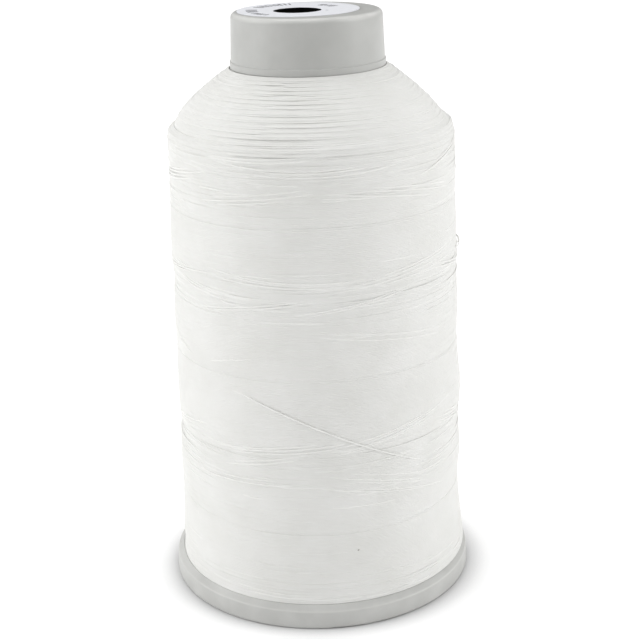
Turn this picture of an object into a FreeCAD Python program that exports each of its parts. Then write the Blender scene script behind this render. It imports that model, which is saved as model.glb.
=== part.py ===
"""Waxed thread spool: a king spool of heavy thread on a three-piece plastic core.

A hollow core tube carries the wound thread. A dished base flange plugs into the
bottom of the tube, and a rounded cap slips over its top. A round paper label is
stuck on the cap, a little off centre. The spool drops over a thread stand's
spindle, which comes in through the base and is steadied by the cap's bore.

Frame: millimetres, +Z up along the tube, origin at the centre of the base's
underside, on the surface that the spool stands on.
"""
import FreeCAD
import Part

import os

from FreeCAD import Vector

# Overall
TOTAL_HEIGHT = 161.0
LABEL_THICKNESS = 0.15
CAP_TOP_Z = TOTAL_HEIGHT - LABEL_THICKNESS

# How far a rib runs into the walls that it joins
RIB_OVERLAP = 0.6

# Core tube
TUBE_R = 17.0
TUBE_WALL = 2.0
TUBE_BORE_R = TUBE_R - TUBE_WALL

# Base flange: a plate with a tapered skirt, ribs below and a spigot above
FLANGE_R = 43.1
ARRIS_R = 42.8
PLATE_TOP_Z = 6.5
PLATE_THICKNESS = 2.2
SKIRT_WALL = 2.4
SKIRT_FOOT_FILLET = 0.6
RIM_BEVEL_WIDTH = 1.6
RIM_BEVEL_DROP = 1.4
RIM_EDGE_FILLET = 0.5
SPIGOT_BORE_R = 13.0
SPIGOT_TOP_Z = 21.0
SPIGOT_LEAD_IN = 0.5
HUB_R = 15.6
HUB_FOOT_Z = 0.8
BASE_RIB_COUNT = 12
BASE_RIB_WIDTH = 1.2
BASE_RIB_FOOT_Z = 1.6

# Top cap: an upturned cup with ribs that grip the tube and a collar that guides the spindle
CAP_FOOT_Z = 146.4
CAP_FOOT_R = 20.83
CAP_BEAD_HEIGHT = 1.9
CAP_BEAD_STEP = 0.24
CAP_TOP_R = 20.1
CAP_TOP_FILLET = 1.5
CAP_WALL = 2.1
CAP_PLATE = 2.2
CAP_RIB_COUNT = 12
CAP_RIB_WIDTH = 1.2
CAP_RIB_FOOT_Z = 148.0
SPINDLE_BORE_R = 9.5
COLLAR_WALL = 1.8
COLLAR_FOOT_Z = 150.0

# Paper label, stuck off centre, with a punched hole
LABEL_R = 16.3
LABEL_CENTRE = (-2.2, 0.4)
LABEL_HOLE_R = 6.4
LABEL_HOLE_CENTRE = (-2.4, -1.6)

# Wound thread: a flared foot, a slightly tapered body and a domed shoulder
WOUND_FOOT_R = 41.2
WOUND_BODY_LOW = (40.0, 23.0)
WOUND_BODY_HIGH = (38.6, 128.5)
WOUND_SHOULDER = (37.6, 131.0)
WOUND_DOME_MIDDLE = (31.6, 138.4)
WOUND_TOP_R = 21.2

TUBE_FOOT_Z = PLATE_TOP_Z
TUBE_TOP_Z = CAP_TOP_Z - CAP_PLATE


def point(radius, z):
    """A point of a half-section in the XZ plane."""
    return Vector(radius, 0, z)


def lines(*corners):
    """Straight edges through the corners of a half-section, each corner (radius, z)."""
    ends = [point(*corner) for corner in corners]
    return [Part.LineSegment(a, b).toShape() for a, b in zip(ends, ends[1:])]


def revolve(edges):
    """The solid that a closed half-section sweeps about the Z axis."""
    wire = Part.Wire(Part.__sortEdges__(edges))
    return Part.Face(wire).revolve(Vector(0, 0, 0), Vector(0, 0, 1), 360)


def ring(inner_r, outer_r, low_z, high_z):
    """A plain tube standing on the Z axis."""
    height = high_z - low_z
    outer = Part.makeCylinder(outer_r, height, Vector(0, 0, low_z))
    return outer.cut(Part.makeCylinder(inner_r, height, Vector(0, 0, low_z)))


def radial_ribs(count, width, inner_r, outer_r, low_z, high_z):
    """Upright walls of one width, spread evenly about the Z axis."""
    ribs = []
    for index in range(count):
        rib = Part.makeBox(
            outer_r - inner_r, width, high_z - low_z, Vector(inner_r, -width / 2, low_z)
        )
        rib.rotate(Vector(0, 0, 0), Vector(0, 0, 1), 360.0 * (index + 0.5) / count)
        ribs.append(rib)
    return ribs


def circle_edges(solid, radius, z):
    """The full-circle edges of a solid that lie at one height with one radius."""
    found = []
    for edge in solid.Edges:
        curve = edge.Curve
        if not isinstance(curve, Part.Circle):
            continue
        if abs(curve.Radius - radius) < 1e-4 and abs(curve.Center.z - z) < 1e-4:
            found.append(edge)
    return found


def make_core_tube():
    return ring(TUBE_BORE_R, TUBE_R, TUBE_FOOT_Z, TUBE_TOP_Z)


def make_base_flange():
    """The foot: skirt, bevelled plate, hub and spigot in one moulding, ribbed underneath."""
    plate_under_z = PLATE_TOP_Z - PLATE_THICKNESS
    skirt_inner_r = FLANGE_R - SKIRT_WALL
    arris_z = PLATE_TOP_Z - RIM_BEVEL_DROP
    body = revolve(
        lines(
            (SPIGOT_BORE_R, HUB_FOOT_Z),
            (HUB_R, HUB_FOOT_Z),
            (HUB_R, plate_under_z),
            (skirt_inner_r, plate_under_z),
            (skirt_inner_r, 0),
            (FLANGE_R, 0),
            (ARRIS_R, arris_z),
            (ARRIS_R - RIM_BEVEL_WIDTH, PLATE_TOP_Z),
            (TUBE_BORE_R, PLATE_TOP_Z),
            (TUBE_BORE_R, SPIGOT_TOP_Z - SPIGOT_LEAD_IN),
            (TUBE_BORE_R - SPIGOT_LEAD_IN, SPIGOT_TOP_Z),
            (SPIGOT_BORE_R, SPIGOT_TOP_Z),
            (SPIGOT_BORE_R, HUB_FOOT_Z),
        )
    )
    body = body.makeFillet(SKIRT_FOOT_FILLET, circle_edges(body, FLANGE_R, 0))
    body = body.makeFillet(RIM_EDGE_FILLET, circle_edges(body, ARRIS_R, arris_z))
    ribs = radial_ribs(
        BASE_RIB_COUNT,
        BASE_RIB_WIDTH,
        HUB_R - RIB_OVERLAP,
        skirt_inner_r + RIB_OVERLAP,
        BASE_RIB_FOOT_Z,
        plate_under_z + RIB_OVERLAP,
    )
    return body.fuse(ribs).removeSplitter()


def make_top_cap():
    """The upturned cup, with a bead round its foot and a rounded top edge."""
    bead_top_z = CAP_FOOT_Z + CAP_BEAD_HEIGHT
    wall_foot_r = CAP_FOOT_R - CAP_BEAD_STEP
    inner_r = CAP_FOOT_R - CAP_WALL
    plate_under_z = CAP_TOP_Z - CAP_PLATE
    collar_r = SPINDLE_BORE_R + COLLAR_WALL
    body = revolve(
        lines(
            (SPINDLE_BORE_R, COLLAR_FOOT_Z),
            (collar_r, COLLAR_FOOT_Z),
            (collar_r, plate_under_z),
            (inner_r, plate_under_z),
            (inner_r, CAP_FOOT_Z),
            (CAP_FOOT_R, CAP_FOOT_Z),
            (CAP_FOOT_R, bead_top_z - CAP_BEAD_STEP),
            (wall_foot_r, bead_top_z),
            (CAP_TOP_R, CAP_TOP_Z),
            (SPINDLE_BORE_R, CAP_TOP_Z),
            (SPINDLE_BORE_R, COLLAR_FOOT_Z),
        )
    )
    body = body.makeFillet(CAP_TOP_FILLET, circle_edges(body, CAP_TOP_R, CAP_TOP_Z))
    # Each grip rib ends in a face hollowed to the tube's own radius.
    ribs = radial_ribs(
        CAP_RIB_COUNT,
        CAP_RIB_WIDTH,
        TUBE_R - RIB_OVERLAP,
        inner_r + RIB_OVERLAP,
        CAP_RIB_FOOT_Z,
        plate_under_z + RIB_OVERLAP,
    )
    tube_space = Part.makeCylinder(
        TUBE_R, plate_under_z - CAP_FOOT_Z, Vector(0, 0, CAP_FOOT_Z)
    )
    hollowed = [rib.cut(tube_space) for rib in ribs]
    return body.fuse(hollowed).removeSplitter()


def make_top_label():
    disc = Part.makeCylinder(LABEL_R, LABEL_THICKNESS, Vector(*LABEL_CENTRE, CAP_TOP_Z))
    hole = Part.makeCylinder(
        LABEL_HOLE_R, LABEL_THICKNESS, Vector(*LABEL_HOLE_CENTRE, CAP_TOP_Z)
    )
    return disc.cut(hole)


def make_thread_package():
    """All the wound thread as one closed solid, touching tube, plate and cap."""
    foot = (WOUND_FOOT_R, PLATE_TOP_Z)
    top = (WOUND_TOP_R, CAP_FOOT_Z)
    body_slope = (WOUND_BODY_HIGH[0] - WOUND_BODY_LOW[0]) / (
        WOUND_BODY_HIGH[1] - WOUND_BODY_LOW[1]
    )
    flare = Part.BSplineCurve()
    flare.interpolate(
        Points=[point(*foot), point(*WOUND_BODY_LOW)],
        Tangents=[Vector(-1.6, 0, 10), Vector(10 * body_slope, 0, 10)],
        Scale=False,
    )
    shoulder = Part.Arc(
        point(*WOUND_SHOULDER), point(*WOUND_DOME_MIDDLE), point(*top)
    )
    edges = [flare.toShape(), shoulder.toShape()]
    edges += lines(WOUND_BODY_LOW, WOUND_BODY_HIGH, WOUND_SHOULDER)
    edges += lines(top, (TUBE_R, CAP_FOOT_Z), (TUBE_R, PLATE_TOP_Z), foot)
    return revolve(edges)


SUB_PARTS = {
    "core_tube": make_core_tube,
    "base_flange": make_base_flange,
    "top_cap": make_top_cap,
    "top_label": make_top_label,
    "thread_package": make_thread_package,
}


def main():
    os.makedirs("parts", exist_ok=True)
    for name, make in SUB_PARTS.items():
        solid = make()
        if not solid.isValid():
            raise RuntimeError(name + " is not a valid solid")
        box = solid.optimalBoundingBox()
        print(
            f"{name}: {len(solid.Solids)} solid, {solid.Volume / 1000:.2f} cm3,"
            f" z {box.ZMin:.2f} to {box.ZMax:.2f}, widest {max(box.XLength, box.YLength):.2f} mm"
        )
        solid.exportStep("parts/" + name + ".step")


main()
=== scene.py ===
"""Looks of the waxed thread spool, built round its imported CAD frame.

The plastic pieces are the CAD's own, with moulded-plastic materials. The wound
thread is modelled strand by strand: one continuous winding from the foot to the
cap, bundles of strands that cross it, and the loose outer end. Lengths here are
in millimetres and turn into metres where a mesh is made, except that the floor
and the lights are in metres. An azimuth is in degrees from the front of the
spool (-Y), growing to the right (+X).
"""

from collections import namedtuple

import bpy
import numpy as np
from mathutils import Matrix, Vector


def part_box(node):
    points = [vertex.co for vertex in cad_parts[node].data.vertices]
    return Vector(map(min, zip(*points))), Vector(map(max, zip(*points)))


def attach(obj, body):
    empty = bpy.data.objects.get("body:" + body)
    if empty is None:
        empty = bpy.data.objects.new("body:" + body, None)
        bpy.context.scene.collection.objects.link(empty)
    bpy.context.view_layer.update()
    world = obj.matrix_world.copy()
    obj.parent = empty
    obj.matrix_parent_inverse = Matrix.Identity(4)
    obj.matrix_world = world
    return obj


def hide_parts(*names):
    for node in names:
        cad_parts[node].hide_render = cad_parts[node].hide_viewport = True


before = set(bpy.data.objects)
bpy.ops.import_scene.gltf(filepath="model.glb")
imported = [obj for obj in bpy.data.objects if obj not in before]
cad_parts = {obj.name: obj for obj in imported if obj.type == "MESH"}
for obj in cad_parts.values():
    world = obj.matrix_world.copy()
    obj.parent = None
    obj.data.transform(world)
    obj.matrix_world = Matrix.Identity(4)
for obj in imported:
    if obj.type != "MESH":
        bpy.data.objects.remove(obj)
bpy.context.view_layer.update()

MM = 0.001
ROOT = "root"

# Places read from the frame
THREAD_LOW, THREAD_HIGH = (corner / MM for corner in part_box("thread_package"))
TUBE_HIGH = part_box("core_tube")[1] / MM
CAP_LOW, CAP_HIGH = (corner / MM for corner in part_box("top_cap"))
FLANGE_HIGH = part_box("base_flange")[1] / MM
LABEL_LOW, LABEL_HIGH = (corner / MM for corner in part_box("top_label"))

# How far the flange's rim slopes down from the plate to its arris
RIM_BEVEL_DROP = 1.4

# The strand: pressed flat by its wax and its neighbours, so each lies partly under the next.
# Its section has more corners on the side that shows.
STRAND_PITCH = 0.47
STRAND_HALF_WIDTH = 0.35
STRAND_HALF_HEIGHT = 0.14
SECTION_ANGLES = np.radians([0, 35, 70, 110, 180, 250, 290, 325])
STEPS_PER_TURN = 110
TURNS_PER_PIECE = 100

# The wound package's outline: (radius, height)
FOOT = (THREAD_HIGH.x, THREAD_LOW.z)
FOOT_FLARE_HEIGHT = 5.5
BODY_LOW = (40.0, 23.0)
BODY_HIGH = (38.7, 128.5)
SHOULDER_PULL = (BODY_HIGH[0] - 0.1, BODY_HIGH[1] + 2.7)
DOME_FOOT = (36.9, 132.2)
DOME_PULL = (34.2, 137.6)
DOME_TOP = (CAP_HIGH.x - 0.05, CAP_LOW.z + 0.2)
BODY_POINTS = 600
SHOULDER_POINTS = 60
DOME_POINTS = 200


# ---------------------------------------------------------------- shared curves

def bezier(a, b, c, count):
    """A quadratic curve from a to c, pulled towards b, as (count, 2) points."""
    t = np.linspace(0, 1, count)[:, None]
    a, b, c = (np.array(p, float) for p in (a, b, c))
    return (1 - t) ** 2 * a + 2 * t * (1 - t) * b + t**2 * c


def bulge(t):
    """A parabola that is 0 at both ends of 0 to 1, and 1 in the middle."""
    return 4 * t * (1 - t)


def fade_at_ends(t, first, last, share):
    """0 at first and last, easing to 1 over that share of the way between them."""
    ends = np.clip(np.minimum(t - first, last - t) / (last - first) / share, 0, 1)
    return ends * ends * (3 - 2 * ends)


def waves(turn, sizes, phases):
    """A sum of sine waves round the spool, each of sizes being (waves per turn, height)."""
    return sum(
        height * np.sin(count * turn + phase) for (count, height), phase in zip(sizes, phases)
    )


def wrap_degrees(angle):
    """The same angle between -180 and 180 degrees."""
    return (np.asarray(angle) + 180.0) % 360.0 - 180.0


def outward(azimuth):
    """Level unit vectors away from the axis, as an (n, 3) array."""
    turn = np.radians(azimuth)
    return np.stack([np.sin(turn), -np.cos(turn), np.zeros_like(turn)], 1)


# ---------------------------------------------------------------- outline

def wound_outline():
    """The outline from foot to cap as closely spaced (radius, height) points."""
    z = np.linspace(FOOT[1], BODY_HIGH[1], BODY_POINTS)
    slope = (BODY_HIGH[0] - BODY_LOW[0]) / (BODY_HIGH[1] - BODY_LOW[1])
    straight = BODY_LOW[0] + slope * (z - BODY_LOW[1])
    flare = FOOT[0] - (BODY_LOW[0] + slope * (FOOT[1] - BODY_LOW[1]))
    body = np.stack([straight + flare * np.exp(-(z - FOOT[1]) / FOOT_FLARE_HEIGHT), z], 1)
    shoulder = bezier(BODY_HIGH, SHOULDER_PULL, DOME_FOOT, SHOULDER_POINTS)
    dome = bezier(DOME_FOOT, DOME_PULL, DOME_TOP, DOME_POINTS)
    return np.concatenate([body, shoulder[1:], dome[1:]])


OUTLINE = wound_outline()
_steps = np.linalg.norm(np.diff(OUTLINE, axis=0), axis=1)
OUTLINE_S = np.concatenate([[0], np.cumsum(_steps)])
_along = np.gradient(OUTLINE, OUTLINE_S, axis=0)
OUTLINE_NORMAL = np.stack([_along[:, 1], -_along[:, 0]], 1)
OUTLINE_NORMAL /= np.linalg.norm(OUTLINE_NORMAL, axis=1)[:, None]
WOUND_LENGTH = OUTLINE_S[-1]


def height_to_s(z):
    """Distance along the outline at a height on the body or dome."""
    return np.interp(z, OUTLINE[:, 1], OUTLINE_S)


def s_to_height(s):
    """Height at a distance along the outline."""
    return np.interp(s, OUTLINE_S, OUTLINE[:, 1])


def surface(azimuth, s, lift):
    """Points lifted off the wound surface, and its outward normals, as (n, 3) arrays."""
    out = outward(azimuth)
    normal = out * np.interp(s, OUTLINE_S, OUTLINE_NORMAL[:, 0])[:, None]
    normal[:, 2] = np.interp(s, OUTLINE_S, OUTLINE_NORMAL[:, 1])
    points = out * np.interp(s, OUTLINE_S, OUTLINE[:, 0])[:, None]
    points[:, 2] = s_to_height(s)
    return points + normal * np.asarray(lift)[..., None], normal


# ---------------------------------------------------------------- relief

# Heights where one band of wraps ends and the next begins, with the tilt of each edge
BandEdge = namedtuple("BandEdge", "height tilt direction")
BAND_EDGES = (
    BandEdge(THREAD_LOW.z, 0.0, 0),
    BandEdge(27.6, 0.5, 160),
    BandEdge(49.0, 1.2, 70),
    BandEdge(70.5, 0.5, 20),
    BandEdge(92.0, 1.2, 100),
    BandEdge(111.6, 0.3, 60),
    BandEdge(129.5, 0.0, 0),
)
BAND_PILLOW = 0.22
BAND_GROOVE = 0.12
BAND_GROOVE_WIDTH = 0.4

# Places where the package swells or sinks: centre, spread and height
Swell = namedtuple("Swell", "azimuth height spread_azimuth spread_height lift")
SWELLS = (
    Swell(90, 9, 50, 9.0, 0.8),
    Swell(90, 72, 50, 60.0, 0.45),
    Swell(90, 55.5, 45, 6.5, 0.75),
    Swell(90, 37, 40, 4.5, 0.55),
    Swell(90, 94.5, 35, 3.0, 0.3),
    Swell(90, 139, 50, 5.0, -0.5),
    Swell(90, 134.5, 50, 2.5, -0.6),
    Swell(-90, 48, 35, 3.5, -0.35),
    Swell(-85, 89, 40, 4.0, -0.3),
    Swell(-85, 121, 40, 7.0, -0.5),
    Swell(-88, 132.5, 45, 2.6, -0.4),
    Swell(-92, 8, 35, 3.5, -0.4),
    Swell(180, 81, 50, 6.0, 0.35),
    Swell(150, 53, 40, 4.0, 0.35),
)

# Terraces on the dome, where each layer of the winding turned back: uneven rounded steps
RIDGE_COUNT = 48
RIDGE_SPACING = (1.35, 1.95)
RIDGE_HEIGHT = 0.38
RIDGES_FROM_Z = 117.5
RIDGE_FULL_AT = 10.0
RIDGE_SOFTNESS = 0.6
TOP_TURNS = 1.6
TOP_TURNS_RISE = 0.12
# Where round the dome the terraces are sharpest
RidgePatch = namedtuple("RidgePatch", "azimuth spread strength")
RIDGE_PATCHES = (RidgePatch(-14, 27, 1.0), RidgePatch(118, 32, 0.8), RidgePatch(-140, 36, 0.9))
RIDGE_EVERYWHERE = 0.27
# Waves in the terraces' edges, as (waves per turn, millimetres): those that all edges
# share, and each edge's own
RIDGE_SHARED_WAVES = ((1, 0.3), (2, 0.2))
RIDGE_SHARED_START = 0.6
RIDGE_SHARED_DRIFT = 0.2
RIDGE_OWN_WAVES = ((3, 0.18), (7, 0.14))
RIDGE_FINE_WAVES = ((16, 0.07), (29, 0.05))
# How a terrace's height comes and goes, as a share of RIDGE_HEIGHT
RIDGE_STRENGTH = 0.72
RIDGE_STRENGTH_WAVES = ((2, 0.2), (5, 0.18))
RIDGE_RNG = np.random.default_rng(5)
RIDGE_EDGES = height_to_s(RIDGES_FROM_Z) + np.cumsum(RIDGE_RNG.uniform(*RIDGE_SPACING, RIDGE_COUNT))
RIDGE_PHASES = RIDGE_RNG.uniform(0, 2 * np.pi, (RIDGE_COUNT, 4))


def band_relief(azimuth, z):
    """Each band of wraps bulges a little, with a shallow groove at its upper edge."""
    relief = np.zeros_like(z)
    for low, high in zip(BAND_EDGES, BAND_EDGES[1:]):
        z_low = low.height + low.tilt * np.cos(np.radians(azimuth - low.direction))
        z_high = high.height + high.tilt * np.cos(np.radians(azimuth - high.direction))
        across = np.clip((z - z_low) / (z_high - z_low), 0, 1)
        relief += BAND_PILLOW * bulge(across)
        relief -= BAND_GROOVE * np.exp(-(((z - z_high) / BAND_GROOVE_WIDTH) ** 2))
    return relief


def swell_relief(azimuth, z):
    """The swells and dents, each fading out from its centre."""
    relief = np.zeros_like(z)
    for swell in SWELLS:
        away = wrap_degrees(azimuth - swell.azimuth) / swell.spread_azimuth
        up = (z - swell.height) / swell.spread_height
        relief += swell.lift * np.exp(-(away**2) - up**2)
    return relief


def ridge_edge(azimuth, index):
    """Where one terrace ends, along the outline: it wanders, mostly as its neighbours do."""
    turn = np.radians(azimuth)
    own = RIDGE_PHASES[index][:2]
    shared = (RIDGE_SHARED_START, RIDGE_SHARED_DRIFT * index)
    together = waves(turn, RIDGE_SHARED_WAVES, shared)
    alone = waves(turn, RIDGE_OWN_WAVES, own) + waves(turn, RIDGE_FINE_WAVES, 2 * own)
    return RIDGE_EDGES[index] + together + alone


def ridge_sharpness(azimuth):
    """How strongly the terraces show at each azimuth, from 0 to 1."""
    sharp = np.full_like(azimuth, RIDGE_EVERYWHERE)
    for patch in RIDGE_PATCHES:
        away = wrap_degrees(azimuth - patch.azimuth) / patch.spread
        sharp += (1 - RIDGE_EVERYWHERE) * patch.strength * np.exp(-(away**2))
    return np.clip(sharp, 0, 1)


def ridge_relief(azimuth, s):
    """Terraces as rounded steps of different heights, which come and go round the dome."""
    turn = np.radians(azimuth)
    relief = np.zeros_like(s)
    for index in range(RIDGE_COUNT - 1):
        low, high = ridge_edge(azimuth, index), ridge_edge(azimuth, index + 1)
        across = np.clip((s - low) / (high - low), 0, 1)
        strength = RIDGE_STRENGTH + waves(turn, RIDGE_STRENGTH_WAVES, RIDGE_PHASES[index][2:])
        soft = (1 - np.cos(2 * np.pi * across)) / 2
        round_top = np.sin(np.pi * across)
        relief += strength * (RIDGE_SOFTNESS * soft + (1 - RIDGE_SOFTNESS) * round_top)
    grown = np.clip((s - RIDGE_EDGES[0]) / RIDGE_FULL_AT, 0, 1)
    at_cap = np.clip(1 - (WOUND_LENGTH - s) / TOP_TURNS, 0, 1)
    ridges = ridge_sharpness(azimuth) * grown * relief * (1 - at_cap)
    return RIDGE_HEIGHT * ridges + TOP_TURNS_RISE * at_cap


def relief(azimuth, s):
    """How far the wraps stand off the plain outline."""
    z = s_to_height(s)
    return band_relief(azimuth, z) + swell_relief(azimuth, z) + ridge_relief(azimuth, s)


# ---------------------------------------------------------------- meshes

def mesh_object(name, vertices, quads, material, uv=None):
    """A smooth-shaded mesh piece from vertices in millimetres and four-sided faces."""
    mesh = bpy.data.meshes.new(name)
    mesh.vertices.add(len(vertices))
    mesh.vertices.foreach_set("co", (vertices * MM).astype(np.float32).ravel())
    mesh.loops.add(quads.size)
    mesh.loops.foreach_set("vertex_index", quads.astype(np.int32).ravel())
    mesh.polygons.add(len(quads))
    mesh.polygons.foreach_set("loop_start", np.arange(0, quads.size, 4, dtype=np.int32))
    mesh.polygons.foreach_set("use_smooth", np.ones(len(quads), bool))
    if uv is not None:
        layer = mesh.uv_layers.new(name="strand")
        layer.data.foreach_set("uv", uv.astype(np.float32).ravel())
    mesh.update(calc_edges=True)
    mesh.validate()
    mesh.materials.append(material)
    piece = bpy.data.objects.new(name, mesh)
    bpy.context.scene.collection.objects.link(piece)
    return piece


def rings_object(name, rings, material):
    """A piece through closed rings of equal counts of points. The last ring joins the first."""
    count, columns = len(rings), len(rings[0])
    row = np.arange(count)[:, None] * columns
    column = np.arange(columns)[None]
    after = (column + 1) % columns
    above = (row + columns) % (count * columns)
    quads = np.stack([row + column, row + after, above + after, above + column], -1)
    return mesh_object(name, np.concatenate(rings), quads.reshape(-1, 4), material)


def tube(centre, normal, half_width=STRAND_HALF_WIDTH, half_height=STRAND_HALF_HEIGHT):
    """Vertices, faces and UVs of a closed, slightly flattened tube along a path."""
    sides = len(SECTION_ANGLES)
    tangent = np.gradient(centre, axis=0)
    tangent /= np.linalg.norm(tangent, axis=1)[:, None]
    across = np.cross(tangent, normal)
    across /= np.linalg.norm(across, axis=1)[:, None]
    up = np.cross(across, tangent)
    rise = half_height * np.cos(SECTION_ANGLES)[None, :, None]
    spread = half_width * np.sin(SECTION_ANGLES)[None, :, None]
    ring = centre[:, None] + rise * up[:, None] + spread * across[:, None]
    row = np.arange(len(centre) - 1)[:, None] * sides
    side = np.arange(sides)[None]
    this, following = row + side, row + (side + 1) % sides
    walls = np.stack([this, following, following + sides, this + sides], -1).reshape(-1, 4)
    # three four-sided faces close each eight-cornered end
    cap = np.array([[0, 1, 2, 3], [0, 3, 4, 7], [4, 5, 6, 7]])
    last = (len(centre) - 1) * sides
    quads = np.concatenate([walls, cap[:, ::-1], cap + last])
    length = np.concatenate([[0], np.cumsum(np.linalg.norm(np.diff(centre, axis=0), axis=1))])
    u = np.stack([length[:-1], length[:-1], length[1:], length[1:]], -1)[:, None]
    v = np.stack([side, side + 1, side + 1, side], -1) / sides
    wall_uv = np.stack(np.broadcast_arrays(u, v), -1).reshape(-1, 2)
    uv = np.concatenate([wall_uv, np.zeros((2 * cap.size, 2))])
    return ring.reshape(-1, 3), quads, uv


def strands_object(name, strands, material):
    """One piece made of several closed tubes."""
    vertices, quads, uvs = [], [], []
    count = 0
    for strand_vertices, strand_quads, strand_uv in strands:
        vertices.append(strand_vertices)
        quads.append(strand_quads + count)
        uvs.append(strand_uv)
        count += len(strand_vertices)
    return mesh_object(
        name, np.concatenate(vertices), np.concatenate(quads), material, np.concatenate(uvs)
    )


# ---------------------------------------------------------------- nodes

def new_material(name):
    """A material with only its output and its shader."""
    material = bpy.data.materials.new(name)
    material.use_nodes = True
    nodes = material.node_tree.nodes
    nodes.clear()
    output = nodes.new("ShaderNodeOutputMaterial")
    shader = nodes.new("ShaderNodeBsdfPrincipled")
    material.node_tree.links.new(shader.outputs["BSDF"], output.inputs["Surface"])
    return material, shader


def set_inputs(owner, node, inputs):
    """Sets a node's inputs to values, or links them to sockets."""
    for key, value in inputs.items():
        if isinstance(value, bpy.types.NodeSocket):
            owner.node_tree.links.new(value, node.inputs[key])
        else:
            node.inputs[key].default_value = value


def add_node(owner, kind, inputs=(), **settings):
    """A new node of a material or world, with its settings and inputs."""
    node = owner.node_tree.nodes.new(kind)
    for key, value in settings.items():
        setattr(node, key, value)
    set_inputs(owner, node, dict(inputs))
    return node


def object_place(material):
    """Where a shaded point is on its piece, in metres."""
    return add_node(material, "ShaderNodeTexCoord").outputs["Object"]


def noise(material, place, scale, detail):
    """A noise texture's grey value, with its scale per metre."""
    inputs = {"Vector": place, "Scale": scale, "Detail": detail}
    return add_node(material, "ShaderNodeTexNoise", inputs).outputs["Fac"]


def map_range(material, value, span, onto, **settings):
    """A value rescaled from the first pair of numbers to the second, and kept within it."""
    inputs = {"Value": value, "From Min": span[0], "From Max": span[1]}
    inputs.update({"To Min": onto[0], "To Max": onto[1]})
    return add_node(material, "ShaderNodeMapRange", inputs, **settings).outputs["Result"]


def maths(owner, operation, first, second):
    """A maths node on two values, each a number or a socket."""
    return add_node(owner, "ShaderNodeMath", {0: first, 1: second}, operation=operation).outputs[0]


def bump(material, height, strength, distance):
    """A normal that follows a height, with the distance in millimetres."""
    inputs = {"Height": height, "Strength": strength, "Distance": distance * MM}
    return add_node(material, "ShaderNodeBump", inputs).outputs["Normal"]


def ramp(material, factor, stops):
    """A colour ramp through (position, colour) stops."""
    node = add_node(material, "ShaderNodeValToRGB", {"Fac": factor})
    elements = node.color_ramp.elements
    while len(elements) > len(stops):
        elements.remove(elements[-1])
    while len(elements) < len(stops):
        elements.new(1.0)
    for element, (position, colour) in zip(elements, stops):
        element.position = position
        element.color = (*colour, 1.0)
    return node.outputs["Color"]


# The Mix node's colour inputs and output, among those for its other types
MIX_FIRST = 6
MIX_SECOND = 7
MIX_RESULT = 2


def mix_colour(material, factor, first, second):
    """A blend of a colour socket and a plain colour."""
    inputs = {"Factor": factor, MIX_FIRST: first, MIX_SECOND: (*second, 1.0)}
    return add_node(material, "ShaderNodeMix", inputs, data_type="RGBA").outputs[MIX_RESULT]


def ring_mask(material, place, radius, height, reach, full=0.0):
    """1 up to a distance of full from a ring round the Z axis, 0 from reach; in millimetres."""
    flat = add_node(material, "ShaderNodeVectorMath", {0: place, 1: (1, 1, 0)}, operation="MULTIPLY")
    out = add_node(
        material, "ShaderNodeVectorMath", {0: flat.outputs["Vector"]}, operation="LENGTH"
    ).outputs["Value"]
    up = add_node(material, "ShaderNodeSeparateXYZ", {"Vector": place}).outputs["Z"]
    here = add_node(material, "ShaderNodeCombineXYZ", {"X": out, "Y": up}).outputs["Vector"]
    ring = (radius * MM, height * MM, 0)
    away = add_node(material, "ShaderNodeVectorMath", {0: here, 1: ring}, operation="DISTANCE")
    span = (reach * MM, full * MM)
    return map_range(material, away.outputs["Value"], span, (0, 1), interpolation_type="SMOOTHSTEP")


# ---------------------------------------------------------------- materials

# How a strand's coordinates, along it and round it, are stretched to slant its twist
TWIST_REPEAT = (0.55, 3.0, 1.0)
TWIST_WAVE_SCALE = 0.3142
# The near-black painted inside a hole as shade
BORE_SHADE_BLACK = (0.03, 0.03, 0.027)


def thread_material(name, dull, bright):
    """Waxed white thread: uneven waxy gloss, faint tint changes, and the twist of its plies."""
    material, shader = new_material(name)
    place = object_place(material)
    patches = noise(material, place, scale=90.0, detail=3.0)
    wax = noise(material, place, scale=420.0, detail=2.0)
    strand_uv = add_node(material, "ShaderNodeUVMap", uv_map="strand").outputs["UV"]
    plies = add_node(
        material, "ShaderNodeMapping", {"Vector": strand_uv, "Scale": TWIST_REPEAT}
    ).outputs["Vector"]
    twist = add_node(
        material,
        "ShaderNodeTexWave",
        {"Vector": plies, "Scale": TWIST_WAVE_SCALE, "Distortion": 0.0},
        wave_type="BANDS",
        bands_direction="DIAGONAL",
    ).outputs["Fac"]
    looks = {
        "Base Color": ramp(material, patches, [(0.3, dull), (0.7, bright)]),
        "Roughness": map_range(material, wax, (0.3, 0.7), (0.42, 0.6)),
        "Normal": bump(material, twist, strength=0.1, distance=0.02),
        "Subsurface Weight": 0.1,
        "Subsurface Radius": (1.0, 1.0, 0.92),
        "Subsurface Scale": 0.5 * MM,
        "Specular IOR Level": 0.25,
    }
    set_inputs(material, shader, looks)
    return material


def under_material():
    """The layers below the outer wraps, seen only in the gaps."""
    material, shader = new_material("inner_layers")
    lines = add_node(
        material,
        "ShaderNodeTexWave",
        {"Vector": object_place(material), "Scale": 320.0, "Distortion": 1.5},
        bands_direction="Z",
    ).outputs["Fac"]
    colour = ramp(material, lines, [(0.0, (0.62, 0.62, 0.59)), (1.0, (0.78, 0.78, 0.75))])
    set_inputs(material, shader, {"Base Color": colour, "Roughness": 0.7})
    return material


def lint_material():
    """Grey-brown fibre."""
    material, shader = new_material("lint")
    clouds = noise(material, object_place(material), scale=3000.0, detail=2.0)
    colour = ramp(material, clouds, [(0.3, (0.34, 0.33, 0.31)), (0.7, (0.46, 0.45, 0.42))])
    set_inputs(material, shader, {"Base Color": colour, "Roughness": 0.8})
    return material


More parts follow.
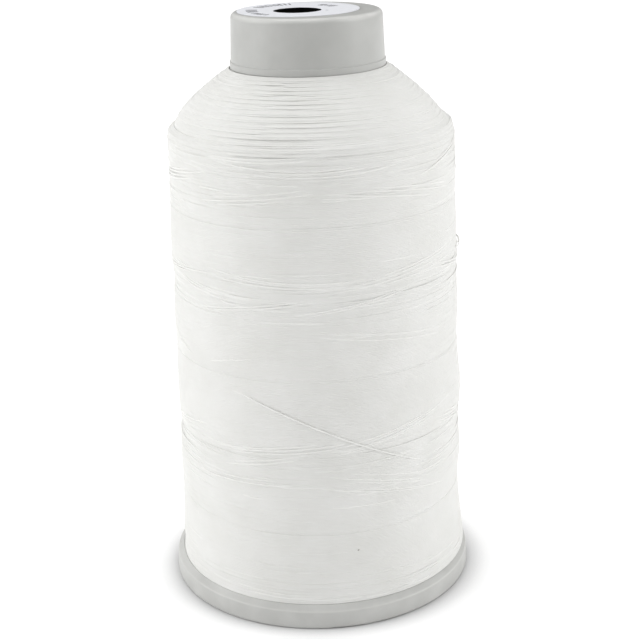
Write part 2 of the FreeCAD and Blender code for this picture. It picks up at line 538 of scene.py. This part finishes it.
def plastic_material(name, dark, light, gloss, highlight_tone=None, edge=None, bore=None):
    """Moulded plastic: cloudy tint, satin gloss with faint smears, fine mould texture.

    gloss is the lowest and the highest roughness. edge is a (radius, height, reach) ring
    that is painted, in patches, towards the paler colour given: a painted highlight. bore is
    a (radius, height, reach, full) ring inside a hole, painted nearly black: painted shade.
    """
    material, shader = new_material(name)
    place = object_place(material)
    clouds = noise(material, place, scale=120.0, detail=5.0)
    colour = ramp(material, clouds, [(0.35, dark), (0.65, light)])
    # Painted highlight: the edge ring is made paler, in patches
    if edge:
        patches = noise(material, place, scale=70.0, detail=3.0)
        patchy = map_range(material, patches, (0.35, 0.6), (0.45, 1.0))
        edge_highlight = maths(material, "MULTIPLY", ring_mask(material, place, *edge), patchy)
        colour = mix_colour(material, edge_highlight, colour, highlight_tone)
    # Painted shade: the inside of the hole is coloured nearly black
    if bore:
        colour = mix_colour(material, ring_mask(material, place, *bore), colour, BORE_SHADE_BLACK)
    smears = noise(material, place, scale=160.0, detail=5.0)
    grain = noise(material, place, scale=2600.0, detail=2.0)
    looks = {
        "Base Color": colour,
        "Roughness": map_range(material, smears, (0.3, 0.7), gloss),
        "Normal": bump(material, grain, strength=0.12, distance=0.04),
        "Subsurface Weight": 0.12,
        "Subsurface Radius": (1.0, 1.0, 0.95),
        "Subsurface Scale": 1.2 * MM,
        "Specular IOR Level": 0.6,
    }
    set_inputs(material, shader, looks)
    return material


def flange_material():
    """The flange's grey, with a patchy painted highlight along its rim's arris."""
    return plastic_material(
        "flange_plastic",
        dark=(0.465, 0.467, 0.45),
        light=(0.52, 0.522, 0.505),
        gloss=(0.4, 0.55),
        # the paler colour and its ring: a painted highlight along the arris
        highlight_tone=(0.54, 0.54, 0.52),
        edge=(FLANGE_HIGH.x - 0.3, THREAD_LOW.z - RIM_BEVEL_DROP, 0.45),
    )


def cap_material():
    """The cap's glossier grey, with a patchy painted highlight round its top edge, and painted shade,
    nearly black, inside its bore.
    """
    return plastic_material(
        "cap_plastic",
        dark=(0.41, 0.413, 0.397),
        light=(0.44, 0.443, 0.427),
        gloss=(0.32, 0.42),
        # the paler colour and its ring: a painted highlight round the top edge
        highlight_tone=(0.62, 0.62, 0.60),
        edge=(CAP_HIGH.x - 1.2, CAP_HIGH.z - 0.4, 1.2),
        # painted shade, nearly black, inside the bore
        bore=(0.0, CAP_HIGH.z - 6.0, 17.0, 11.0),
    )


def core_material():
    """The core tube's duller grey."""
    return plastic_material(
        "core_plastic", dark=(0.52, 0.53, 0.51), light=(0.58, 0.59, 0.57), gloss=(0.5, 0.65)
    )


def label_material():
    """Coated paper, faintly blue."""
    material, shader = new_material("label_paper")
    fibres = noise(material, object_place(material), scale=900.0, detail=4.0)
    looks = {
        "Base Color": ramp(
            material, fibres, [(0.3, (0.70, 0.71, 0.745)), (0.7, (0.745, 0.755, 0.79))]
        ),
        "Normal": bump(material, fibres, strength=0.15, distance=0.03),
        "Roughness": 0.5,
    }
    set_inputs(material, shader, looks)
    return material


def ink_material():
    """Grey-black printing ink, a little patchy."""
    material, shader = new_material("label_ink")
    patches = noise(material, object_place(material), scale=1500.0, detail=3.0)
    colour = ramp(material, patches, [(0.35, (0.05, 0.05, 0.06)), (0.7, (0.16, 0.16, 0.18))])
    set_inputs(material, shader, {"Base Color": colour, "Roughness": 0.45})
    return material


# ---------------------------------------------------------------- wound thread

# The closed mass under the wraps
UNDER_COLUMNS = 180
UNDER_ROWS = 420
UNDER_SINK = 0.3
UNDER_OFF_TUBE = 0.05

# Heights round which the wraps are rougher, each with its spread
ROUGH_ZONES = ((46.0, 10.0), (92.0, 9.0), (120.0, 7.0), (10.0, 4.0))
# How often the wraps' ups and downs change, in turns, and how large they are: on the
# smooth bands, in patches, in the rough zones, and more of that at the spool's sides
UNEVEN_TURNS = 0.06
UNEVEN_SMOOTH = 0.006
UNEVEN_PATCHES = 0.018
UNEVEN_ROUGH = 0.022
UNEVEN_SIDES = 0.045

# Rough patches slant round the package: two waves, each of which drifts by a radian in
# so many millimetres of height
PATCH_BIAS = 0.3
PATCH_START = 0.7
PATCH_DRIFTS = (23, 9)

# Where the winding starts, and how far its pitch wanders in half a turn
WINDING_START = 180.0
HALF_TURN = 0.5
PITCH_WANDER = 0.015


def make_under_layer(material):
    """The closed mass under the outer wraps, from the core tube outwards."""
    azimuth = np.linspace(0, 360, UNDER_COLUMNS, endpoint=False)
    rings = []
    for s in np.linspace(0, WOUND_LENGTH, UNDER_ROWS):
        level = np.full(UNDER_COLUMNS, s)
        lift = relief(azimuth, level) - STRAND_HALF_HEIGHT - UNDER_SINK
        rings.append(surface(azimuth, level, lift)[0])
    inside = outward(azimuth) * (TUBE_HIGH.x + UNDER_OFF_TUBE)
    for z in (rings[-1][:, 2].max(), rings[0][:, 2].min()):
        rings.append(inside + (0, 0, z))
    return rings_object("inner_layers", rings, material)


def uneven_lift(azimuth, s, rng):
    """Small ups and downs of the wraps: slight on the smooth bands, more where bundles cross."""
    turns = int(np.ceil((azimuth[-1] - azimuth[0]) / 360.0)) + 1
    knots = np.arange(0, turns, UNEVEN_TURNS)
    step = (azimuth - azimuth[0]) / 360.0
    ups_and_downs = np.interp(step, knots, rng.normal(0, 1, len(knots)))
    z = s_to_height(s)
    rough = sum(np.exp(-(((z - middle) / spread) ** 2)) for middle, spread in ROUGH_ZONES)
    turn = np.radians(azimuth)
    once = np.sin(turn + PATCH_START + z / PATCH_DRIFTS[0])
    twice = np.sin(2 * turn + z / PATCH_DRIFTS[1])
    patches = np.clip(PATCH_BIAS + once * twice, 0, 1)
    crossed = (UNEVEN_ROUGH + UNEVEN_SIDES * np.sin(turn) ** 2) * np.clip(rough, 0, 1)
    return ups_and_downs * (UNEVEN_SMOOTH + UNEVEN_PATCHES * patches + crossed)


def winding_path(rng):
    """Azimuth and distance along the outline of the whole outer winding."""
    reach = WOUND_LENGTH - STRAND_HALF_WIDTH
    turns = int(reach / STRAND_PITCH)
    step = np.arange(turns * STEPS_PER_TURN + 1) / STEPS_PER_TURN
    knots = np.arange(0, turns + 3 * HALF_TURN, HALF_TURN)
    drift = np.cumsum(rng.normal(0, PITCH_WANDER, len(knots)))
    drift -= np.linspace(drift[0], drift[-1], len(knots))
    s = STRAND_HALF_HEIGHT + STRAND_PITCH * step + np.interp(step, knots, drift)
    return WINDING_START + 360.0 * step, np.clip(s, STRAND_HALF_HEIGHT, WOUND_LENGTH)


def make_winding(material, rng):
    """The outer winding, cut into pieces of about a hundred turns each."""
    azimuth, s = winding_path(rng)
    lift = relief(azimuth, s) - STRAND_HALF_HEIGHT + uneven_lift(azimuth, s, rng)
    points, normal = surface(azimuth, s, lift)
    pieces = []
    per_piece = TURNS_PER_PIECE * STEPS_PER_TURN
    for index, start in enumerate(range(0, len(points) - 1, per_piece)):
        part = slice(start, start + per_piece + 1)
        strand = tube(points[part], normal[part])
        pieces.append(strands_object(f"winding_{index + 1}", [strand], material))
    return pieces


# A bundle of strands that crosses the winding: it runs from one (azimuth, height) to the
# other, bowed by some millimetres at its middle. gap_1 and gap_2 are the distances between
# its strands at the two ends, and lift is how far it stands on the wraps below.
Crossing = namedtuple("Crossing", "azimuth_1 height_1 azimuth_2 height_2 bow strands gap_1 gap_2 lift")
CROSSINGS = (
    # between the third and the fourth band, in front
    Crossing(-78, 102.0, 46, 98.5, -3.4, 3, 0.9, 0.5, 0.14),
    Crossing(96, 101.0, -12, 93.4, 0.5, 4, 1.3, 0.6, 0.10),
    Crossing(-100, 100.0, 10, 93.6, -4.2, 3, 0.6, 0.8, 0.14),
    Crossing(-76, 84.4, 22, 95.4, 0.0, 2, 0.8, 0.8, 0.14),
    Crossing(-32, 85.8, 58, 95.4, 0.0, 2, 0.7, 0.7, 0.14),
    Crossing(-24, 85.4, 84, 74.6, 1.2, 3, 0.7, 0.9, 0.11),
    Crossing(-92, 81.5, -46, 70.6, -1.2, 2, 0.8, 0.4, 0.15),
    Crossing(-64, 70.4, -8, 79.0, 0.0, 1, 0.6, 0.6, 0.14),
    # between the second and the third band, in front
    Crossing(-66, 47.8, 34, 55.4, -0.6, 3, 0.5, 1.0, 0.15),
    Crossing(-58, 43.2, 16, 53.4, -0.8, 2, 0.6, 0.8, 0.14),
    Crossing(90, 60.2, -16, 47.8, 0.6, 4, 0.8, 0.6, 0.08),
    Crossing(-22, 45.6, 78, 31.4, 0.9, 5, 1.3, 1.2, 0.10),
    Crossing(-84, 41.0, 12, 43.6, -1.2, 2, 0.9, 1.2, 0.14),
    # under the shoulder, in front
    Crossing(-70, 131.4, 64, 130.6, -5.6, 3, 0.9, 0.8, 0.14),
    Crossing(-64, 129.6, 30, 131.6, -2.0, 2, 0.7, 0.7, 0.14),
    Crossing(-66, 115.4, 20, 122.4, 0.0, 3, 1.4, 0.9, 0.12),
    Crossing(-12, 122.0, 84, 113.8, 0.8, 3, 0.9, 1.3, 0.12),
    # a slipped loop at the right, and a proud turn at the left of the shoulder
    Crossing(72, 97.0, 98, 98.0, 0.0, 2, 0.3, 0.3, 0.75),
    Crossing(-108, 131.4, -70, 130.8, -0.5, 3, 0.5, 0.5, 0.15),
)
OVERLYING_HALF_WIDTH = 0.27
OVERLYING_HALF_HEIGHT = 0.15
# How far below the wraps a strand's ends lie, and the share of its length it rises over
BURIED = 0.3
CROSSING_FADE = 0.36
# How strands of one bundle differ: in length, place, waviness and lift
CROSSING_SHORTER = 0.22
CROSSING_JITTER = 0.25
CROSSING_WAVE_HEIGHT = 0.15
CROSSING_WAVES = (0.6, 1.6)
CROSSING_LIFTS = (0.6, 1.15)
# A crossing strand has this many times the winding's steps per turn, and a least number
CROSSING_FINENESS = 1.6
CROSSING_STEPS_LEAST = 24

# The bundles at the sides and behind: where they are, and the ranges they are drawn from
BACK_BANDS = (49.0, 92.0, 121.0)
BACK_AZIMUTHS = range(70, 290, 36)
BACK_RISES = (5, 11)
BACK_WANDER = 4
BACK_HALF_SPANS = (34, 52)
BACK_BOW = 1.5
BACK_STRANDS = (2, 5)
BACK_GAPS = (0.6, 1.2)
BACK_LIFT = 0.19

# The single proud turns in the rough zones
RAISED_PER_ZONE = 45
RAISED_HALF_SPANS = (12, 34)
RAISED_SPREAD = 0.6
RAISED_TILT = 0.7
RAISED_GAP = 0.5
RAISED_LIFT = 0.05
RAISED_OFF_PLATE = 1.0


def crossing_strands(crossing, rng):
    """The tubes of one bundle. Each dips under the wraps at both of its ends."""
    span = crossing.azimuth_2 - crossing.azimuth_1
    steps = int(abs(span) / 360 * STEPS_PER_TURN * CROSSING_FINENESS)
    strands = []
    for index in range(crossing.strands):
        first = rng.uniform(0, CROSSING_SHORTER)
        last = 1 - rng.uniform(0, CROSSING_SHORTER)
        t = np.linspace(first, last, max(CROSSING_STEPS_LEAST, steps))
        jitter = rng.uniform(-CROSSING_JITTER, CROSSING_JITTER)
        rank = index - (crossing.strands - 1) / 2 + jitter
        gap = crossing.gap_1 + (crossing.gap_2 - crossing.gap_1) * t
        z = crossing.height_1 + (crossing.height_2 - crossing.height_1) * t
        z = z + crossing.bow * bulge(t) + rank * gap
        wave = np.sin(2 * np.pi * (t * rng.uniform(*CROSSING_WAVES) + rng.uniform()))
        z = z + CROSSING_WAVE_HEIGHT * wave
        azimuth = crossing.azimuth_1 + span * t
        s = height_to_s(z)
        lift = relief(azimuth, s) - STRAND_HALF_HEIGHT - BURIED
        rise = crossing.lift * rng.uniform(*CROSSING_LIFTS) + BURIED
        lift += rise * fade_at_ends(t, first, last, CROSSING_FADE)
        points, normal = surface(azimuth, s, lift)
        strands.append(tube(points, normal, OVERLYING_HALF_WIDTH, OVERLYING_HALF_HEIGHT))
    return strands


def back_crossings(rng):
    """Bundles like those in front, spread over the rest of the package."""
    found = []
    for band_height in BACK_BANDS:
        for middle_azimuth in BACK_AZIMUTHS:
            rise = rng.choice([-1, 1]) * rng.uniform(*BACK_RISES)
            middle = band_height + rng.uniform(-BACK_WANDER, BACK_WANDER)
            half = rng.uniform(*BACK_HALF_SPANS)
            bow = rng.uniform(-BACK_BOW, BACK_BOW)
            strands = int(rng.integers(*BACK_STRANDS))
            gap_1 = rng.uniform(*BACK_GAPS)
            gap_2 = rng.uniform(*BACK_GAPS)
            low, high = middle - rise / 2, middle + rise / 2
            first, last = middle_azimuth - half, middle_azimuth + half
            found.append(Crossing(first, low, last, high, bow, strands, gap_1, gap_2, BACK_LIFT))
    return found


def raised_wraps(rng):
    """Single turns that stand a little proud of their neighbours for part of a turn."""
    found = []
    lowest = THREAD_LOW.z + RAISED_OFF_PLATE
    for middle, spread in ROUGH_ZONES:
        for _ in range(RAISED_PER_ZONE):
            azimuth = rng.uniform(0, 360)
            half = rng.uniform(*RAISED_HALF_SPANS)
            z = max(middle + RAISED_SPREAD * spread * rng.normal(), lowest)
            tilt = rng.uniform(-RAISED_TILT, RAISED_TILT)
            first, last = (azimuth - half, z - tilt), (azimuth + half, z + tilt)
            found.append(Crossing(*first, *last, 0.0, 1, RAISED_GAP, RAISED_GAP, RAISED_LIFT))
    return found


def make_crossings(material, rng):
    """The bundles in front, those at the sides and behind, and the raised wraps: a piece each."""
    groups = {
        "crossing_strands_front": CROSSINGS,
        "crossing_strands_back": back_crossings(rng),
        "raised_wraps": raised_wraps(rng),
    }
    pieces = []
    for name, crossings in groups.items():
        strands = [strand for crossing in crossings for strand in crossing_strands(crossing, rng)]
        pieces.append(strands_object(name, strands, material))
    return pieces


# The loose outer end of the thread: its route as (azimuth, height), and its section
LOOSE_ROUTE = ((-52, 67.8), (-30, 66.2), (-14, 62.0), (3, 56.6), (20, 50.8), (43, 43.4), (64, 37.2))
LOOSE_POINTS = 260
LOOSE_HALF_WIDTH = 0.24
LOOSE_HALF_HEIGHT = 0.18
LOOSE_LIFT = 0.28
LOOSE_FADE = 0.3
# The route is smoothed over a window that is short against one of its runs
SMOOTHING_POINTS = 41
SMOOTHING_MARGIN = 0.1


def smooth(values, count):
    """A smooth curve of count points through values, which are spaced evenly along it."""
    knots = np.linspace(0, 1, len(values))
    wide_count = round(count * (1 + 2 * SMOOTHING_MARGIN))
    wide = np.linspace(-SMOOTHING_MARGIN, 1 + SMOOTHING_MARGIN, wide_count)
    window = np.hanning(SMOOTHING_POINTS)
    window /= window.sum()
    averaged = np.convolve(np.interp(wide, knots, values), window, "same")
    return np.interp(np.linspace(0, 1, count), wide, averaged)


def make_loose_strand(material):
    """The outer end of the thread, lying slantwise over the wraps."""
    azimuth, z = (smooth(column, LOOSE_POINTS) for column in np.array(LOOSE_ROUTE, float).T)
    s = height_to_s(z)
    rise = fade_at_ends(np.linspace(0, 1, LOOSE_POINTS), 0, 1, LOOSE_FADE)
    lift = relief(azimuth, s) - STRAND_HALF_HEIGHT + (LOOSE_LIFT + BURIED) * rise - BURIED
    points, normal = surface(azimuth, s, lift)
    strand = tube(points, normal, LOOSE_HALF_WIDTH, LOOSE_HALF_HEIGHT)
    return strands_object("loose_strand", [strand], material)


# A speck of lint: where it is, how far it reaches each way, and its section
FLECK_AZIMUTH = 14.0
FLECK_HEIGHT = 21.7
FLECK_HALF_SPAN = 0.3
FLECK_HALF_RISE = 0.15
FLECK_LIFT = 0.02
FLECK_HALF_WIDTH = 0.16
FLECK_HALF_HEIGHT = 0.06
FLECK_POINTS = 9


def make_fleck(material):
    """A speck of dark lint caught in the wraps."""
    along = np.linspace(-1, 1, FLECK_POINTS)
    azimuth = FLECK_AZIMUTH + FLECK_HALF_SPAN * along
    s = height_to_s(FLECK_HEIGHT + FLECK_HALF_RISE * along)
    points, normal = surface(azimuth, s, relief(azimuth, s) + FLECK_LIFT)
    speck = tube(points, normal, FLECK_HALF_WIDTH, FLECK_HALF_HEIGHT)
    return strands_object("fleck", [speck], material)


# ---------------------------------------------------------------- label

LABEL_COLUMNS = 160
LABEL_FLAT_ROWS = 12
LABEL_FLAT_MARGIN = 0.4
LABEL_EDGE_SOFTNESS = 0.05
# The hole's corners are those of the CAD label at least this far inside its outer edge
HOLE_INSIDE = 1.0


def label_circles():
    """Centre and radius of the label's outer edge and of its hole, measured on the CAD's mesh."""
    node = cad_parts["top_label"]
    points = np.array([v.co for v in node.data.vertices]) / MM
    centre = np.array([(LABEL_LOW.x + LABEL_HIGH.x) / 2, (LABEL_LOW.y + LABEL_HIGH.y) / 2])
    outer_r = (LABEL_HIGH.x - LABEL_LOW.x) / 2
    reach = np.linalg.norm(points[:, :2] - centre, axis=1)
    rim = points[reach < outer_r - HOLE_INSIDE][:, :2]
    hole = (rim.min(0) + rim.max(0)) / 2
    hole_r = (rim[:, 0].max() - rim[:, 0].min()) / 2
    return centre, outer_r, hole, hole_r


def label_section(width):
    """The paper's section from its outer edge to its hole, as (distance inwards, height)."""
    low, high = LABEL_LOW.z, LABEL_HIGH.z
    soften = LABEL_EDGE_SOFTNESS
    flat = np.linspace(LABEL_FLAT_MARGIN, width - LABEL_FLAT_MARGIN, LABEL_FLAT_ROWS)
    return [
        (0.0, low),
        (0.0, high - soften),
        (soften, high),
        *[(inward, high) for inward in flat],
        (width - soften, high),
        (width, high - soften),
        (width, low),
    ]


def make_label(material):
    """A thin paper washer with an off-centre hole, and softly rounded edges."""
    centre, outer_r, hole, hole_r = label_circles()
    turn = np.linspace(0, 2 * np.pi, LABEL_COLUMNS, endpoint=False)
    circle = np.stack([np.cos(turn), np.sin(turn)], 1)
    width = outer_r - hole_r
    rings = []
    for inward, z in label_section(width):
        share = inward / width
        place = (centre + outer_r * circle) * (1 - share) + (hole + hole_r * circle) * share
        rings.append(np.column_stack([place, np.full(LABEL_COLUMNS, z)]))
    piece = rings_object("paper_label", rings, material)
    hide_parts("top_label")
    return piece


# Rows of printed dashes on the label, in arcs about its centre
MarkRow = namedtuple("MarkRow", "radius azimuth_1 azimuth_2 dashes width")
MARK_ROWS = (
    MarkRow(12.2, 190, 244, 9, 3.6),
    MarkRow(12.4, -96, -66, 4, 3.2),
    MarkRow(13.2, -60, -34, 5, 2.2),
    MarkRow(10.6, 116, 150, 5, 3.0),
    MarkRow(8.6, 60, 66, 1, 0.8),
)
# The share of its pitch that a dash takes up
DASH_SHARE = (0.3, 0.7)
DASH_POINTS = 12
INK_THICKNESS = 0.02


def make_printed_marks(material, rng):
    """Generic print on the label: thin curved dashes with no lettering."""
    centre = ((LABEL_LOW.x + LABEL_HIGH.x) / 2, (LABEL_LOW.y + LABEL_HIGH.y) / 2, LABEL_HIGH.z)
    up = np.tile([0.0, 0.0, 1.0], (DASH_POINTS, 1))
    dashes = []
    for row in MARK_ROWS:
        pitch = (row.azimuth_2 - row.azimuth_1) / row.dashes
        for index in range(row.dashes):
            start = row.azimuth_1 + pitch * index
            stop = start + pitch * rng.uniform(*DASH_SHARE)
            path = outward(np.linspace(start, stop, DASH_POINTS)) * row.radius + centre
            dashes.append(tube(path, up, row.width / 2, INK_THICKNESS))
    return strands_object("printed_marks", dashes, material)


# ---------------------------------------------------------------- studio

# The camera, fitted to the photo: its place in millimetres and its angles in degrees
CAMERA_PLACE = (0.0, -375.95, 203.7)
CAMERA_DOWN = 19.01
CAMERA_YAW = -0.19
CAMERA_ROLL = -1.64
CAMERA_LENS = 78.78
CAMERA_NEAREST = 0.01
SENSOR = 36.0

# The floor, a square of this half-size in metres. Its glow fades where something stands
# over it within CONTACT_SHADE millimetres, to nothing where only CONTACT_OPEN of the sky
# is free. A point counts as under the spool where the mask is over UNDER_SPOOL.
FLOOR_HALF = 20.0
FLOOR_GREY = 0.62
FLOOR_ROUGHNESS = 0.9
FLOOR_GLOW = 0.47
CONTACT_SHADE = 9.5
CONTACT_OPEN = 0.56
CONTACT_SAMPLES = 16
UNDER_SPOOL = 0.001

# The studio's soft lights, in metres and watts
Softbox = namedtuple("Softbox", "name place size power")
SOFTBOXES = (
    Softbox("softbox_left", (-2.6, -0.44, 1.2), (1.8, 2.2), 36.5),
    Softbox("softbox_right", (2.6, -0.5, 1.1), (1.8, 2.2), 31.0),
    Softbox("softbox_top", (-0.2, 0.75, 3.0), (2.2, 2.2), 27.0),
)
SOFTBOX_AIM = (0, 0, 0.08)

# The white tent's light: everywhere, towards the sides, and overhead
SKY_BASE = 0.142
SKY_SIDES = 0.62
SKY_TOP = 0.56


def make_camera():
    data = bpy.data.cameras.new("camera")
    data.sensor_width = SENSOR
    data.lens = CAMERA_LENS
    data.clip_start = CAMERA_NEAREST
    camera = bpy.data.objects.new("camera", data)
    turn = Matrix.Rotation(np.radians(CAMERA_YAW), 4, "Z")
    tilt = Matrix.Rotation(np.radians(90 - CAMERA_DOWN), 4, "X")
    roll = Matrix.Rotation(np.radians(CAMERA_ROLL), 4, "Z")
    place = Matrix.Translation(Vector(CAMERA_PLACE) * MM)
    camera.matrix_world = place @ turn @ tilt @ roll
    bpy.context.scene.collection.objects.link(camera)
    bpy.context.scene.camera = camera


def floor_material():
    """Pale and matt, glowing a little except under the spool and in its contact shade."""
    material, shader = new_material("floor")
    open_air = add_node(
        material, "ShaderNodeAmbientOcclusion", {"Distance": CONTACT_SHADE * MM}, samples=CONTACT_SAMPLES
    ).outputs["AO"]
    glow = map_range(material, open_air, (CONTACT_OPEN, 1.0), (0.0, FLOOR_GLOW))
    under = ring_mask(material, object_place(material), 0.0, 0.0, FLANGE_HIGH.x)
    outside = maths(material, "LESS_THAN", under, UNDER_SPOOL)
    looks = {
        "Base Color": (FLOOR_GREY, FLOOR_GREY, FLOOR_GREY, 1),
        "Roughness": FLOOR_ROUGHNESS,
        "Specular IOR Level": 0.0,
        "Emission Color": (1, 1, 1, 1),
        "Emission Strength": maths(material, "MULTIPLY", glow, outside),
    }
    set_inputs(material, shader, looks)
    return material


def make_floor():
    corners = [(x * FLOOR_HALF, y * FLOOR_HALF, 0) for x, y in ((-1, -1), (1, -1), (1, 1), (-1, 1))]
    mesh = bpy.data.meshes.new("floor")
    mesh.from_pydata(corners, [], [(0, 1, 2, 3)])
    mesh.materials.append(floor_material())
    floor = bpy.data.objects.new("floor", mesh)
    bpy.context.scene.collection.objects.link(floor)


def add_softbox(softbox):
    data = bpy.data.lights.new(softbox.name, "AREA")
    data.shape = "RECTANGLE"
    data.size, data.size_y = softbox.size
    data.energy = softbox.power
    light = bpy.data.objects.new(softbox.name, data)
    light.visible_camera = False
    place = Vector(softbox.place)
    turn = (Vector(SOFTBOX_AIM) - place).to_track_quat("-Z", "Y").to_matrix().to_4x4()
    light.matrix_world = Matrix.Translation(place) @ turn
    bpy.context.scene.collection.objects.link(light)


def make_sky():
    """A soft white tent: brightest at the sides and overhead, dimmer in front and behind."""
    world = bpy.data.worlds.new("studio")
    world.use_nodes = True
    direction = add_node(world, "ShaderNodeTexCoord").outputs["Generated"]
    split = add_node(world, "ShaderNodeSeparateXYZ", {0: direction}).outputs
    sideways = maths(world, "MULTIPLY", split["X"], split["X"])
    upward = maths(world, "MAXIMUM", split["Z"], 0.0)
    side_light = maths(world, "MULTIPLY", sideways, SKY_SIDES)
    top_light = maths(world, "MULTIPLY", upward, SKY_TOP)
    strength = maths(world, "ADD", maths(world, "ADD", side_light, top_light), SKY_BASE)
    background = world.node_tree.nodes["Background"]
    set_inputs(world, background, {"Strength": strength, "Color": (1, 1, 1, 1)})
    bpy.context.scene.world = world


def make_studio():
    for softbox in SOFTBOXES:
        add_softbox(softbox)
    make_sky()
    bpy.context.scene.view_settings.view_transform = "Standard"


# ---------------------------------------------------------------- assembly

# The thread's two tints, and a paler pair for the strands over the wraps: a painted
# highlight, since those are the same thread. Then the seeds of the random draws
THREAD_TINTS = ((0.70, 0.70, 0.675), (0.74, 0.74, 0.72))
OVERLYING_HIGHLIGHT_TINTS = ((0.735, 0.735, 0.71), (0.78, 0.78, 0.76))
WINDING_SEED = 7
CROSSING_SEED = 21
PRINT_SEED = 3


def make_thread():
    """The wound package: every piece that shows, and the closed mass below."""
    thread = thread_material("waxed_white_thread", *THREAD_TINTS)
    # The strands over the wraps get the paler tints: a painted highlight
    highlit_thread = thread_material("overlying_thread_painted_highlight", *OVERLYING_HIGHLIGHT_TINTS)
    under = make_under_layer(under_material())
    winding = make_winding(thread, np.random.default_rng(WINDING_SEED))
    crossings = make_crossings(highlit_thread, np.random.default_rng(CROSSING_SEED))
    loose = make_loose_strand(highlit_thread)
    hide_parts("thread_package")
    fleck = make_fleck(lint_material())
    for piece in (under, *winding, *crossings, loose, fleck):
        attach(piece, ROOT)


def make_label_and_print():
    label = make_label(label_material())
    marks = make_printed_marks(ink_material(), np.random.default_rng(PRINT_SEED))
    for piece in (label, marks):
        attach(piece, ROOT)


def dress_plastics():
    """Gives the CAD's own mouldings their materials."""
    looks = {"base_flange": flange_material(), "top_cap": cap_material(), "core_tube": core_material()}
    for node, material in looks.items():
        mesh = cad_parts[node].data
        mesh.materials.clear()
        mesh.materials.append(material)


make_camera()
make_floor()
make_studio()
make_thread()
make_label_and_print()
dress_plastics()
